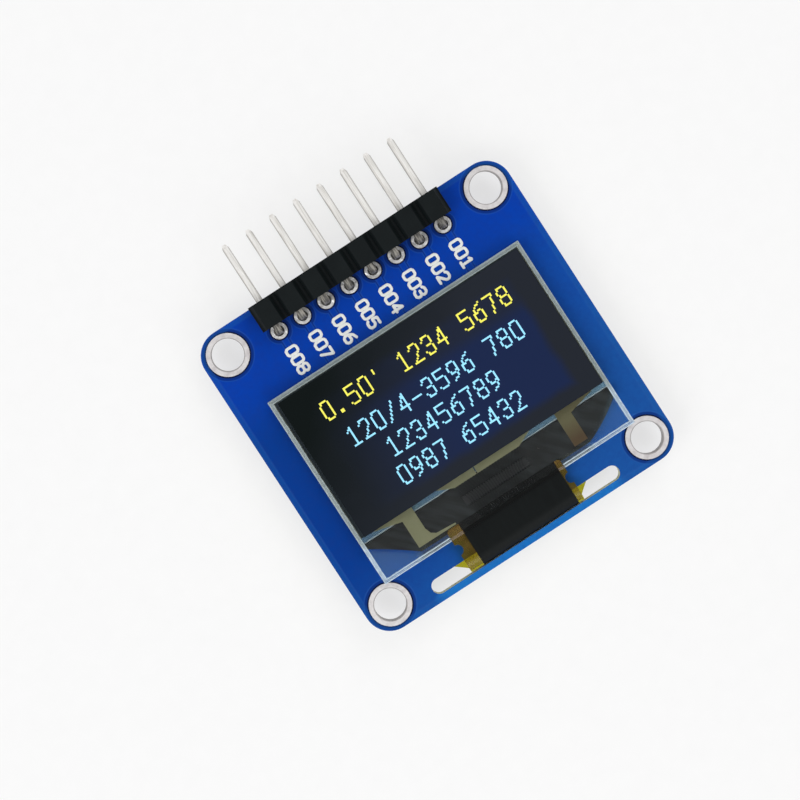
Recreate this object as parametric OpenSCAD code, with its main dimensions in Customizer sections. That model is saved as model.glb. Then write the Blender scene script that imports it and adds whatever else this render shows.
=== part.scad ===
// Small two-colour OLED display module: a glass panel on its own circuit board, with a
// right-angle pin header along the top edge and a flex cable that folds through a slot to
// the back. The origin is the centre of the four mounting holes on the board's back face.
// +X runs to the right along the header, +Y towards the header, +Z out of the screen.

/* [Board] */
// Width of the board
board_w = 33; // [32.8:0.1:36]
// Length of the board, from the slot's edge to the header's edge
board_l = 32; // [31.8:0.1:34]
// Thickness of the laminate
board_t = 1.6; // [1.2:0.1:1.8]
// Radius of the board's corners
corner_r = 2.45; // [1:0.05:3]

/* [Mounting holes] */
// Distance from the board's sides to the holes
hole_side = 2.5; // [2.3:0.1:2.8]
// Distance from the board's upper and lower edges to the holes
hole_end = 2.4; // [2.3:0.1:2.5]
// Clear bore of a hole
hole_d = 3; // [2.4:0.1:3.2]
// Outer size of the tinned ring round a hole
ring_d = 4; // [3.7:0.1:4.2]
// Thickness of the plating on the walls of the holes
plate_t = 0.08; // [0.05:0.01:0.12]
// Thickness of the tinned rings and lands on the board's faces
land_t = 0.05; // [0.04:0.01:0.08]

/* [Pin header] */
// Number of pins
pin_count = 8; // [4:1:8]
// Distance between neighbouring pins
pitch = 2.54; // [2.2:0.01:2.54]
// Side of the square pins
pin_s = 0.64; // [0.5:0.02:0.66]
// Distance from the row of pin holes to the board's edge
row_inset = 3.1; // [2.5:0.05:3.2]
// Clear bore of a pin hole
pin_hole_d = 1; // [0.96:0.02:1.1]
// Outer size of the tinned ring round a pin hole
pin_land_d = 1.55; // [1.4:0.05:1.6]
// Length of the pins beyond the plastic body
pin_out = 6; // [4:0.5:8]
// Length of the pins below the board
pin_tail = 1.4; // [1.2:0.1:2.5]
// Length of the taper at each end of a pin
pin_tip_l = 0.4; // [0.2:0.05:0.5]
// Side of the flat at each end of a pin
pin_tip_s = 0.34; // [0.2:0.02:0.44]
// Inner radius of a pin's bend
pin_bend_r = 0.3; // [0.1:0.05:0.3]
// Distance from the row of pin holes to the plastic body
body_gap = 0.65; // [0.65:0.05:1.2]
// Depth of the plastic body along the pins
body_d = 2.6; // [2:0.1:3]
// Height of the plastic body
body_h = 2.5; // [2.2:0.1:2.6]
// Width of the flat on top of each cell of the body
cell_flat_w = 1.65; // [1.3:0.05:1.9]
// Depth of the notches between the cells
notch_h = 0.6; // [0.3:0.05:0.7]
// Width of the flat web at the bottom of a notch
web_flat_w = 0.3; // [0.1:0.05:0.4]
// Height of the solder cone on the back of a pin
cone_h = 0.75; // [0.4:0.05:0.75]
// Depth to which solder fills a pin hole
fill_h = 0.9; // [0.5:0.1:1.1]

/* [Panel] */
// Width of the glass
panel_w = 27.1; // [26.7:0.1:27.4]
// Length of the glass, with the contact ledge
panel_l = 19.7; // [19.3:0.05:19.8]
// Offset of the glass from the centre of the holes, across the board
panel_x = 0.2; // [0:0.1:0.5]
// Distance from the board's slot edge to the glass
panel_rise = 4.3; // [4.1:0.05:4.4]
// Thickness of the front glass
glass_t = 0.7; // [0.5:0.05:0.8]
// Ground chamfer along the front glass's upper edges
glass_chamfer = 0.3; // [0.05:0.01:0.35]
// Thickness of the cap glass behind it
cap_t = 0.5; // [0.45:0.05:0.7]
// Ground chamfer along the cap glass's edge at the ledge
cap_chamfer = 0.12; // [0.05:0.01:0.14]
// Thickness of the seal between the two glasses
seal_t = 0.05; // [0.04:0.01:0.06]
// Width of the seal
seal_w = 0.9; // [0.6:0.1:1]
// Distance from the cap glass's sides and upper edge to the seal
seal_inset = 0.15; // [0.15:0.05:0.5]
// Length of the contact ledge that the cap glass leaves bare
ledge_l = 4.08; // [3.9:0.01:4.2]
// Thickness of the polariser
pol_t = 0.2; // [0.1:0.05:0.25]
// Distance from the glass's sides to the polariser
pol_side = 0.65; // [0.45:0.05:0.8]
// Distance from the glass's upper edge to the polariser
pol_top = 0.55; // [0.35:0.05:0.7]
// Offset of the polariser across the glass
pol_x = 0.1; // [0:0.05:0.1]
// Lap of the cap glass beyond the polariser's lower edge
pol_lap = 0.6; // [0.4:0.05:0.7]
// Distance from the glass's sides to the lit area
active_side = 2.68; // [2.4:0.02:2.9]
// Distance from the glass's upper edge to the lit area
active_top = 2.4; // [2:0.1:2.6]
// Distance from the cap glass's lower edge to the lit area
active_low = 2; // [1.8:0.1:2.2]
// Thickness of the light-emitting layers
pixel_t = 0.03; // [0.02:0.005:0.035]
// Depth of the pocket in the cap glass
pocket_h = 0.25; // [0.2:0.01:0.3]
// Width of the cap glass's rim round the pocket
pocket_rim = 1.6; // [1.5:0.1:2]
// Thickness of the drying sheet in the pocket
dryer_t = 0.15; // [0.1:0.01:0.19]
// Gap between the drying sheet and the pocket's walls
dryer_gap = 1; // [0.5:0.1:2]
// Thickness of the foam tape between the panel and the board
tape_t = 0.3; // [0.2:0.05:0.4]
// Distance from the cap glass's edge to the foam tape
tape_inset = 1; // [0.5:0.1:2]

/* [Contact ledge] */
// Thickness of the metal film on the ledge
film_t = 0.03; // [0.02:0.005:0.04]
// Distance from the glass's side to the outer edge of a supply bar
bar_inset = 4.4; // [4.2:0.1:4.6]
// Width of a supply bar
bar_w = 1.4; // [1:0.1:1.5]
// Length of the foot at the end of the left bar
foot_l = 2.6; // [2:0.1:2.7]
// Height of that foot
foot_h = 0.3; // [0.2:0.02:0.4]
// Gap between the supply bars and the flex cable
bar_gap = 0.1; // [0.05:0.05:0.2]
// Length of the wedge that runs from a supply bar along the polariser's edge
wedge_l = 3; // [2:0.1:3.5]
// Height of the metal strips along the polariser's edge
strip_h = 0.75; // [0.5:0.05:0.9]
// Half the length of the strips' upper edge
strip_reach = 5.2; // [4.8:0.1:5.4]
// How far the strips' ends slope inwards
strip_slope = 1.7; // [0.5:0.1:2]
// Offset of the slit between the strips
slit_x = -1.05; // [-2:0.05:2]
// Width of the slit
slit_w = 0.12; // [0.08:0.02:0.3]
// Number of tracks that fan out from the driver chip
track_count = 24; // [12:2:24]
// Width of a track
track_w = 0.1; // [0.08:0.01:0.12]
// Distance between the tracks at the chip
track_pitch = 0.25; // [0.22:0.01:0.26]
// How many times wider the tracks lie at the strips than at the chip
track_fan = 1.2; // [1:0.1:1.2]
// Width of the driver chip
driver_w = 6.8; // [6:0.1:7.5]
// Length of the driver chip
driver_l = 0.9; // [0.8:0.05:1]
// Thickness of the driver chip
driver_t = 0.3; // [0.2:0.05:0.35]
// Distance from the glass's lower edge to the driver chip's middle
driver_inset = 2.4; // [2.2:0.05:2.5]
// Gap between the ledge pad and the edges of the ledge
pad_gap = 0.05; // [0.02:0.01:0.1]
// Distance from the glass's lower edge to the pad
pad_rise = 0.7; // [0.5:0.05:0.8]
// Length of the pad's straight left side
pad_left_l = 0.3; // [0.2:0.05:1]
// Length of the pad's straight right side
pad_right_l = 0.85; // [0.5:0.05:1.5]
// Width of the slope that cuts each lower corner of the pad
pad_slope_w = 4.3; // [4:0.1:5]
// How far the left slope curves inwards
pad_hollow = 0.1; // [0:0.05:0.4]
// How far the right slope bulges outwards
pad_bulge = 0.2; // [0:0.05:0.4]
// Clearance round the driver chip and the cable in the pad
pad_play = 0.05; // [0.02:0.01:0.08]

/* [Flex cable] */
// Width of the flex cable's neck
neck_w = 12.3; // [11.4:0.1:13]
// Thickness of the flex cable
flex_t = 0.12; // [0.08:0.01:0.14]
// Lap of the flex cable under the glass
bond_l = 1; // [0.85:0.05:1.1]
// Radius of the neck's corners under the glass
bond_corner_r = 0.4; // [0.1:0.05:0.45]
// Radius of the locating notches in the neck's sides
notch_r = 0.52; // [0.3:0.02:0.54]
// Distance from the glass's lower edge to the notches
notch_inset = 1.05; // [0.7:0.05:1.2]
// Width of the black cover film on the neck
cover_w = 10.35; // [9:0.05:10.4]
// Offset of the cover film across the neck
cover_x = 0.375; // [0:0.025:0.375]
// Thickness of the cover film
cover_t = 0.06; // [0.03:0.01:0.07]
// Gap between the cover film and the glass
cover_gap = 0.05; // [0.02:0.01:0.1]
// Length of the cover film behind the board
cover_l = 1.4; // [0.5:0.1:2]
// Number of soldered contacts
contact_count = 30; // [20:1:30]
// Distance between neighbouring contacts
contact_pitch = 0.62; // [0.5:0.01:0.62]
// Width of a contact
contact_w = 0.36; // [0.2:0.02:0.4]
// Length of a contact under the flex cable
contact_l = 1.8; // [1:0.1:2]
// Length of the solder beyond the cable's end
contact_toe = 0.35; // [0.2:0.05:0.4]
// Flex cable beyond the outer contacts on each side
tail_margin = 0.48; // [0.4:0.02:0.5]
// Length of the flex cable's tail behind the board
tail_l = 4.6; // [4:0.1:5]
// Distance from the fold to where the cable widens
shoulder_l = 0.95; // [0.6:0.05:1]
// Length over which the cable widens
shoulder_run = 2.7; // [2:0.1:3]

/* [Slot] */
// Width of the board between the slot and the edge
web_w = 0.65; // [0.5:0.05:1]
// Offset of the slot from the centre of the holes, across the board
slot_x = 0.1; // [0:0.05:0.2]
// Clearance between the slot and the ends of the folded cable
slot_end_gap = 0.5; // [0.4:0.05:0.6]
// Clearance between the folded cable and the slot's outer wall
fold_gap = 0.06; // [0.04:0.01:0.2]
// Clearance between the slot's inner wall and the middle of the fold
slot_lap = 0.05; // [0.02:0.01:0.1]

/* [Chip parts] */
// Number of ceramic capacitors
cap_count = 7; // [5:1:8]
// Number of chip resistors
res_count = 6; // [4:1:8]
// Length of a chip part
chip_l = 1.6; // [1:0.1:1.8]
// Width of a chip part
chip_w = 0.8; // [0.5:0.05:0.9]
// Thickness of a capacitor
cap_h = 0.8; // [0.5:0.05:0.9]
// Thickness of a resistor
res_h = 0.45; // [0.3:0.05:0.6]
// Length of the metal cap at each end of a chip part
band_l = 0.32; // [0.2:0.02:0.4]
// How far the metal caps stand proud of the body
band_t = 0.02; // [0.01:0.01:0.03]
// Distance between neighbouring chip parts
chip_pitch = 2.4; // [1.6:0.1:2.6]
// Distance from the cable's end to the capacitors
cap_row_gap = 2.3; // [2:0.1:3]
// Distance from the capacitors to the resistors
res_row_gap = 3.4; // [2.8:0.1:5]
// Length of the solder beyond a chip part's end
toe_l = 0.32; // [0.2:0.02:0.4]

/* [Hidden] */
$fn = 64;

// Distances between the mounting holes.
hole_dx = board_w - 2 * hole_side;
hole_dy = board_l - 2 * hole_end;

// Heights of the stacked layers, from the board's back face at 0.
cap_z = board_t + tape_t;
seal_z = cap_z + cap_t;
glass_z = seal_z + seal_t;
pol_z = glass_z + glass_t;
film_z = glass_z - film_t;

// Edges of the panel, with X and Y measured from the board's origin.
panel_low = -board_l / 2 + panel_rise;
panel_top = panel_low + panel_l;
panel_left = panel_x - panel_w / 2;
panel_right = panel_x + panel_w / 2;
cap_low = panel_low + ledge_l;
pol_low = cap_low + pol_lap;

// The header: its row of holes, its body's front and the height of the pins' axis.
row_y = board_l / 2 - row_inset;
body_y = row_y + body_gap;
body_z = board_t + land_t;
pin_z = body_z + body_h / 2;
pin_end_y = body_y + body_d + pin_out;
bend_mid_y = row_y + pin_s / 2 + pin_bend_r;
bend_mid_z = pin_z - pin_s / 2 - pin_bend_r;
function pin_x(i) = (i - (pin_count + 1) / 2) * pitch;

// The fold of the flex cable and the slot that it passes through.
flex_low_z = -land_t - flex_t;
fold_r = (film_z - flex_low_z) / 2;
fold_z = (film_z + flex_low_z) / 2;
slot_low = -board_l / 2 + web_w;
fold_y = slot_low + fold_gap + cover_t + fold_r; // middle of the fold
slot_top = fold_y + slot_lap;
slot_r = (slot_top - slot_low) / 2;
tail_w = (contact_count - 1) * contact_pitch + contact_w + 2 * tail_margin;
tail_end = fold_y + tail_l;
slot_w = tail_w + 2 * slot_end_gap;

// Rows of chip parts on the back.
cap_row_y = tail_end + cap_row_gap;
res_row_y = cap_row_y + res_row_gap;

// ---- Shared forms ----

// A flat shape lifted to height z and made t thick.
module layer(z, t) {
    translate([0, 0, z]) linear_extrude(t) children();
}

// A shape drawn in the YZ plane, as wide as w across X.
module across(w) {
    rotate([90, 0, 90]) linear_extrude(w, center = true) children();
}

// A rectangle given by its edges.
module box_2d(left, right, low, top) {
    translate([left, low]) square([right - left, top - low]);
}

// A plated hole through the board with a tinned ring on both faces.
module plated_hole(bore_d, land_d) {
    rotate_extrude() polygon([
        [bore_d / 2, -land_t], [land_d / 2, -land_t], [land_d / 2, 0],
        [bore_d / 2 + plate_t, 0], [bore_d / 2 + plate_t, board_t],
        [land_d / 2, board_t], [land_d / 2, board_t + land_t], [bore_d / 2, board_t + land_t]
    ]);
}

// The place of mounting hole i, counted from the upper left to the lower right.
module at_hole(i) {
    side = (i % 2 == 1) ? -1 : 1;
    end = (i <= 2) ? 1 : -1;
    translate([side * hole_dx / 2, end * hole_dy / 2]) children();
}

// ---- Board ----

module board_outline() {
    x = board_w / 2 - corner_r;
    y = board_l / 2 - corner_r;
    square([board_w - 2 * corner_r, board_l], center = true);
    square([board_w, board_l - 2 * corner_r], center = true);
    for (sx = [-1, 1], sy = [-1, 1]) translate([sx * x, sy * y]) circle(corner_r);
}

module slot_outline() {
    reach = slot_w / 2 - slot_r;
    box_2d(slot_x - reach, slot_x + reach, slot_low, slot_top);
    for (side = [-1, 1])
        translate([slot_x + side * reach, slot_low + slot_r]) circle(slot_r);
}

module pcb() color([0.04, 0.25, 0.63]) layer(0, board_t) difference() {
    board_outline();
    slot_outline();
    for (i = [1:4]) at_hole(i) circle(hole_d / 2 + plate_t);
    for (i = [1:pin_count]) translate([pin_x(i), row_y]) circle(pin_hole_d / 2 + plate_t);
}

module mounting_ring(i) color("silver") at_hole(i) plated_hole(hole_d, ring_d);

// ---- Pin header ----

module header_lands() color("silver") {
    for (i = [1:pin_count]) translate([pin_x(i), row_y]) plated_hole(pin_hole_d, pin_land_d);
}

// One cell of the plastic body, seen along the pins.
module cell_outline() {
    side = body_h / 2 - notch_h;
    web = (pitch - web_flat_w) / 2;
    square([pitch, 2 * side], center = true);
    polygon([
        [-web, -side], [-cell_flat_w / 2, -body_h / 2], [cell_flat_w / 2, -body_h / 2],
        [web, -side], [web, side], [cell_flat_w / 2, body_h / 2],
        [-cell_flat_w / 2, body_h / 2], [-web, side]
    ]);
}

module header_body() color([0.1, 0.1, 0.1]) translate([0, body_y + body_d, pin_z])
    rotate([90, 0, 0]) linear_extrude(body_d) difference() {
        for (i = [1:pin_count]) translate([pin_x(i), 0]) cell_outline();
        for (i = [1:pin_count]) translate([pin_x(i), 0]) square(pin_s, center = true);
    }

// A square bar from the origin along +X with a tapered end.
module tipped_bar(length) {
    polygon([
        [0, -pin_s / 2], [length - pin_tip_l, -pin_s / 2], [length, -pin_tip_s / 2],
        [length, pin_tip_s / 2], [length - pin_tip_l, pin_s / 2], [0, pin_s / 2]
    ]);
}

// A pin from the side, with Y to the right and Z up: a run, a bend and a leg.
module pin_side() {
    translate([bend_mid_y, pin_z]) tipped_bar(pin_end_y - bend_mid_y);
    translate([row_y, bend_mid_z]) rotate(-90) tipped_bar(bend_mid_z + pin_tail);
    translate([bend_mid_y, bend_mid_z]) intersection() {
        difference() {
            circle(pin_bend_r + pin_s);
            circle(pin_bend_r);
        }
        translate([-2 * pin_s, 0]) square(2 * pin_s);
    }
}

// The run and the leg narrow across X too, so the side view is cut by their front views.
module header_pin(i) color("gainsboro") translate([pin_x(i), 0, 0]) intersection() {
    across(pin_s) pin_side();
    union() {
        translate([0, row_y, bend_mid_z]) layer(0, 2 * pin_s + pin_bend_r)
            rotate(90) tipped_bar(pin_end_y - row_y);
        translate([0, bend_mid_y, bend_mid_z + pin_s]) rotate([90, 0, 0])
            linear_extrude(2 * pin_s + pin_bend_r) rotate(-90)
            tipped_bar(bend_mid_z + pin_s + pin_tail);
        translate([-pin_s / 2, row_y - pin_s / 2, bend_mid_z])
            cube([pin_s, pin_s + pin_bend_r, 2 * pin_s + pin_bend_r]);
    }
}

// The radius of a solder cone at share t of its height: wide at the land, then hollow.
function cone_r(t) =
    let (foot = pin_land_d / 2 - 0.03, neck = pin_s * 0.75)
    neck + (foot - neck) * pow(1 - t, 3);

module header_solder(i) color("silver") translate([pin_x(i), row_y, 0]) difference() {
    rotate_extrude() polygon(concat(
        [[0, -land_t - cone_h], [0, fill_h], [pin_hole_d / 2, fill_h], [pin_hole_d / 2, -land_t]],
        [for (k = [0:6]) [cone_r(k / 6), -land_t - cone_h * k / 6]]
    ));
    translate([0, 0, fill_h / 2 - cone_h / 2])
        cube([pin_s, pin_s, fill_h + cone_h + 4 * pin_s], center = true);
}

// ---- Display panel ----

module panel_outline(inset, low) {
    box_2d(panel_left + inset, panel_right - inset, low + inset, panel_top - inset);
}

module foam_tape() color([0.95, 0.95, 0.92]) layer(board_t, tape_t)
    panel_outline(tape_inset, cap_low);

module cap_glass() color([0.75, 0.85, 0.85, 0.6]) difference() {
    layer(cap_z, cap_t) panel_outline(0, cap_low);
    layer(seal_z - pocket_h, 2 * pocket_h) panel_outline(pocket_rim, cap_low);
    across(2 * panel_w) translate([cap_low, seal_z]) rotate(45)
        square(cap_chamfer * sqrt(2), center = true);
}

module drying_sheet() color("white") layer(seal_z - pocket_h, dryer_t)
    panel_outline(pocket_rim + dryer_gap, cap_low);

// The seal keeps back from the ledge, where the metal film runs in under the cap glass.
module seal_outline(inset) {
    box_2d(panel_left + inset, panel_right - inset, pol_low + inset - seal_inset, panel_top - inset);
}

module edge_seal() color([0.6, 0.6, 0.55]) layer(seal_z, seal_t) difference() {
    seal_outline(seal_inset);
    seal_outline(seal_inset + seal_w);
}

module pixel_layer() color([0.12, 0.1, 0.2]) layer(glass_z - pixel_t, pixel_t)
    box_2d(
        panel_left + active_side, panel_right - active_side,
        cap_low + active_low, panel_top - active_top
    );

// The edge view of a plate whose two upper edges are ground off.
module ground_edge(width) {
    reach = width / 2;
    polygon([
        [-reach, 0], [reach, 0], [reach, glass_t - glass_chamfer], [reach - glass_chamfer, glass_t],
        [glass_chamfer - reach, glass_t], [-reach, glass_t - glass_chamfer]
    ]);
}

module front_glass() color([0.8, 0.9, 0.9, 0.5])
    translate([panel_x, (panel_low + panel_top) / 2, glass_z]) intersection() {
        rotate([90, 0, 0]) linear_extrude(panel_l, center = true) ground_edge(panel_w);
        across(panel_w) ground_edge(panel_l);
    }

module polariser() color([0.06, 0.06, 0.1]) translate([pol_x, 0, 0]) layer(pol_z, pol_t)
    box_2d(panel_left + pol_side, panel_right - pol_side, pol_low, panel_top - pol_top);

// ---- Contact ledge ----

// The left supply bar: a wedge along the polariser's edge, the bar and, if foot > 0, a foot.
module supply_bar(foot) {
    outer = panel_left + bar_inset;
    inner = outer + bar_w;
    low = panel_low + bond_l + bar_gap;
    heel = foot * foot_l;
    polygon([
        [outer - wedge_l, pol_low], [inner, pol_low], [inner, low + 4 * foot_h],
        [inner + heel * 0.08, low + 2 * foot_h], [inner + heel * 0.25, low + foot_h],
        [inner + heel, low + foot_h * 0.5], [inner + heel, low], [outer, low],
        [outer, pol_low - strip_h]
    ]);
}

// The two strips that run along the middle of the polariser's edge.
module middle_strips() {
    low = pol_low - strip_h;
    for (side = [-1, 1]) {
        slit = slit_x + side * slit_w / 2;
        translate([panel_x, 0]) polygon([
            [slit, pol_low], [side * strip_reach, pol_low],
            [side * (strip_reach - strip_slope), low], [slit, low]
        ]);
    }
}

// Track i fans in from the strips to the driver chip, then runs straight on to the cable.
module fan_track(i) {
    top = pol_low - strip_h;
    chip = panel_low + driver_inset;
    near = (i - (track_count - 1) / 2) * track_pitch;
    far = near * track_fan;
    half = track_w / 2;
    translate([panel_x, 0]) {
        polygon([[far - half, top], [far + half, top], [near + half, chip], [near - half, chip]]);
        box_2d(near - half, near + half, panel_low + bond_l / 2, chip);
    }
}

module ledge_film() color([0.5, 0.48, 0.38]) layer(film_z, film_t) {
    supply_bar(1);
    translate([2 * panel_x, 0]) mirror([1, 0]) supply_bar(0);
    middle_strips();
    for (i = [0:track_count - 1]) fan_track(i);
}

module driver_outline(gap) {
    translate([panel_x, panel_low + driver_inset])
        square([driver_w + 2 * gap, driver_l + 2 * gap], center = true);
}

module driver_chip() color([0.2, 0.2, 0.22]) layer(film_z - driver_t, driver_t)
    driver_outline(0);

// Points along a shallow bow from a to b, which rises by sag in its middle.
function bow(a, b, sag) =
    [for (k = [0:8]) let (t = k / 8) a + t * (b - a) + [0, 4 * sag * t * (1 - t)]];

// The black pad under the ledge, with a slope at each lower corner.
module pad_outline() {
    left = panel_left + 2 * pad_gap;
    right = panel_right - 2 * pad_gap;
    low = panel_low + pad_rise;
    top = cap_low - pad_gap;
    polygon(concat(
        [[left, top]], bow([left, top - pad_left_l], [left + pad_slope_w, low], pad_hollow),
        bow([right - pad_slope_w, low], [right, top - pad_right_l], -pad_bulge), [[right, top]]
    ));
}

module ledge_pad() color([0.07, 0.07, 0.07]) difference() {
    layer(board_t, film_z - board_t) pad_outline();
    layer(film_z - driver_t - pad_play, driver_t + 2 * pad_play) driver_outline(pad_play);
    layer(film_z - flex_t - pad_play, flex_t + 2 * pad_play) box_2d(
        -neck_w / 2 - pad_play, neck_w / 2 + pad_play,
        panel_low - pad_gap, panel_low + bond_l + pad_play
    );
}

// ---- Flex cable ----

// A strip folded round to the back, from the side: Y to the right, Z up.
module hairpin(outer_r, t, upper_l, lower_l) {
    translate([fold_y, fold_z]) {
        difference() {
            circle(outer_r);
            circle(outer_r - t);
            translate([0, -2 * outer_r]) square(4 * outer_r);
        }
        translate([0, outer_r - t]) square([upper_l, t]);
        translate([0, -outer_r]) square([lower_l, t]);
    }
}

// The neck over the board, with its corners rounded and a notch in each side.
module neck_outline() {
    top = panel_low + bond_l;
    half = neck_w / 2;
    difference() {
        union() {
            box_2d(-half, half, fold_y - 2 * fold_r, top - bond_corner_r);
            box_2d(bond_corner_r - half, half - bond_corner_r, fold_y, top);
            for (side = [-1, 1])
                translate([side * (half - bond_corner_r), top - bond_corner_r])
                    circle(bond_corner_r);
        }
        for (side = [-1, 1]) translate([side * half, panel_low - notch_inset]) circle(notch_r);
    }
}

// The part behind the board, which widens from the neck to the row of contacts.
module tail_outline() {
    neck = neck_w / 2;
    half = tail_w / 2;
    start = fold_y - shoulder_l;
    end = start + shoulder_run;
    low = fold_y - 2 * fold_r;
    polygon([
        [-neck, low], [neck, low], [neck, start], [half, end], [half, tail_end],
        [-half, tail_end], [-half, end], [-neck, start]
    ]);
}

module flex_cable() color([0.72, 0.5, 0.12]) intersection() {
    across(tail_w + 1)
        hairpin(fold_r, flex_t, panel_low + bond_l - fold_y, tail_end - fold_y);
    union() {
        layer(fold_z, 2 * fold_r) neck_outline();
        layer(fold_z - 2 * fold_r, 2 * fold_r) tail_outline();
    }
}

module flex_cover() color([0.08, 0.08, 0.08]) translate([cover_x, 0, 0]) across(cover_w)
    hairpin(fold_r + cover_t, cover_t, panel_low - cover_gap - fold_y, cover_l);

// A soldered contact: the land on the board and the solder over the cable's end.
module flex_joint(i) {
    x = (i - (contact_count - 1) / 2) * contact_pitch;
    translate([x, tail_end, -land_t]) across(contact_w) {
        translate([-contact_l, 0]) square([contact_l + contact_toe, land_t]);
        polygon([[0, 0], [contact_toe, 0], [contact_toe / 3, -flex_t / 2], [0, -flex_t]]);
    }
}

module flex_joints() color("silver") {
    for (i = [0:contact_count - 1]) flex_joint(i);
}

// ---- Chip parts on the back ----

// A ceramic chip of height h with its length along Y, standing on its lands.
module chip(h) {
    translate([0, 0, -land_t - h / 2]) {
        cube([chip_w - 2 * band_t, chip_l - 2 * band_t, h - 2 * band_t], center = true);
        for (end = [-1, 1]) translate([0, end * (chip_l - band_l) / 2, 0])
            cube([chip_w, band_l, h], center = true);
    }
}

// The land and the solder at the +Y end of a chip of height h.
module chip_joint(h) {
    translate([0, chip_l / 2, -land_t]) across(chip_w) {
        translate([-band_l, 0]) square([band_l + toe_l, land_t]);
        polygon([[0, 0], [toe_l, 0], [toe_l / 3, -h / 5], [0, -h * 0.6]]);
    }
}

module at_capacitor(i) {
    translate([(i - (cap_count + 1) / 2) * chip_pitch, cap_row_y]) children();
}

module at_resistor(i) {
    translate([(i - (res_count + 1) / 2) * chip_pitch, res_row_y]) children();
}

module capacitor(i) color([0.72, 0.6, 0.45]) at_capacitor(i) chip(cap_h);

module resistor(i) color([0.15, 0.15, 0.15]) at_resistor(i) chip(res_h);

module chip_joints() color("silver") for (turn = [0, 1]) {
    for (i = [1:cap_count]) at_capacitor(i) mirror([0, turn]) chip_joint(cap_h);
    for (i = [1:res_count]) at_resistor(i) mirror([0, turn]) chip_joint(res_h);
}

pcb();
header_lands();
header_body();
foam_tape();
cap_glass();
drying_sheet();
edge_seal();
pixel_layer();
front_glass();
polariser();
ledge_film();
driver_chip();
ledge_pad();
flex_cable();
flex_cover();
flex_joints();
chip_joints();
for (i = [1:4]) mounting_ring(i);
for (i = [1:pin_count]) header_pin(i);
for (i = [1:pin_count]) header_solder(i);
for (i = [1:cap_count]) capacitor(i);
for (i = [1:res_count]) resistor(i);
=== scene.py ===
import bpy
import numpy as np
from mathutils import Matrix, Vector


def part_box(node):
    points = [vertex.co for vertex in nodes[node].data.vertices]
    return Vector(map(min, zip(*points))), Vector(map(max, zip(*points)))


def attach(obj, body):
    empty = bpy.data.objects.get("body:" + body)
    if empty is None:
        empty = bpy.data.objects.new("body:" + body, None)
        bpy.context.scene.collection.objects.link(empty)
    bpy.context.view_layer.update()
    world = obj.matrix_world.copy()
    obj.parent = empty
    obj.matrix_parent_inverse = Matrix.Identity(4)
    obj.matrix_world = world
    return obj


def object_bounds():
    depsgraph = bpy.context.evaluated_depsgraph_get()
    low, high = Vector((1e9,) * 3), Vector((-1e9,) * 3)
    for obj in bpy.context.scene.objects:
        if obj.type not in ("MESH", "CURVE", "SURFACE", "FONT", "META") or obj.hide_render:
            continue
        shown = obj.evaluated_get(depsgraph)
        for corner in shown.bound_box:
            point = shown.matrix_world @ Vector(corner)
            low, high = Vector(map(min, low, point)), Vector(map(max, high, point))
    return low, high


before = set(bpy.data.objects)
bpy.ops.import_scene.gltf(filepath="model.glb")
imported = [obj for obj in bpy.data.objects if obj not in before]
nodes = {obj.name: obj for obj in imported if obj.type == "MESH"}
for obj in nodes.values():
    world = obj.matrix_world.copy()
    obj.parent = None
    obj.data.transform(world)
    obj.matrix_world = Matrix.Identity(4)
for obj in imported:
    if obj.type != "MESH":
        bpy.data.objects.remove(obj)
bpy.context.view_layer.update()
mm = 0.001  # one millimetre in scene units
print("frame loaded,", len(nodes), "nodes")


def linear(hexColour):
    # sRGB to linear: c / 12.92 below 0.04045, else ((c + 0.055) / 1.055) ^ 2.4
    c = np.array([int(hexColour[i:i + 2], 16) for i in (1, 3, 5)]) / 255
    c = np.where(c <= 0.04045, c / 12.92, ((c + 0.055) / 1.055) ** 2.4)
    return (*c.tolist(), 1.0)


def addNode(tree, kind, inputs=(), **settings):
    # adds one node with its settings; inputs go by name or place, as values, hex colours, or the
    # nodes and sockets to link from
    node = tree.nodes.new("ShaderNode" + kind)
    for name, value in settings.items():
        setattr(node, name, value)
    sockets = [socket for socket in node.inputs if socket.enabled]
    pairs = inputs.items() if isinstance(inputs, dict) else enumerate(inputs)
    for key, value in pairs:
        socket = sockets[key] if isinstance(key, int) else next(s for s in sockets if s.name == key)
        if isinstance(value, str):
            value = linear(value)
        if isinstance(value, bpy.types.Node):
            value = next(s for s in value.outputs if s.enabled)
        if isinstance(value, bpy.types.NodeSocket):
            tree.links.new(value, socket)
        else:
            socket.default_value = value
    return node


def blank(name):
    # an empty material: its tree, and the piece's own coordinates in millimetres
    material = bpy.data.materials.new(name)
    material.use_nodes = True
    tree = material.node_tree
    tree.nodes.clear()
    place = addNode(tree, "TexCoord").outputs["Object"]
    where = addNode(tree, "VectorMath", {"Vector": place, "Scale": 1 / mm}, operation="SCALE")
    return material, tree, where


def close(material, tree, shader):
    addNode(tree, "OutputMaterial", {"Surface": shader})
    return material


def distance(tree, value, middle):
    # |value - middle|
    value = addNode(tree, "Math", (value, middle), operation="SUBTRACT")
    return addNode(tree, "Math", (value,), operation="ABSOLUTE")


def levelness(tree):
    # 1 on faces that lie level, 0 on upright ones: |z| of the face's normal
    normal = addNode(tree, "NewGeometry").outputs["True Normal"]
    normal = addNode(tree, "SeparateXYZ", (normal,))
    return addNode(tree, "Math", (normal.outputs["Z"],), operation="ABSOLUTE")


def mottled(tree, where, scale, detail, colours):
    # a cloudy pattern, and the colour that drifts with it from the first to the second of a pair
    first, second = colours
    cloud = addNode(tree, "TexNoise", {"Vector": where, "Scale": scale, "Detail": detail})
    colour = addNode(tree, "Mix", {"Factor": cloud, "A": first, "B": second}, data_type="RGBA")
    return cloud, colour


def boxOf(name):
    # the lower and the upper corner of a node, in millimetres
    return [np.array(corner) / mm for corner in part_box(name)]


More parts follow.
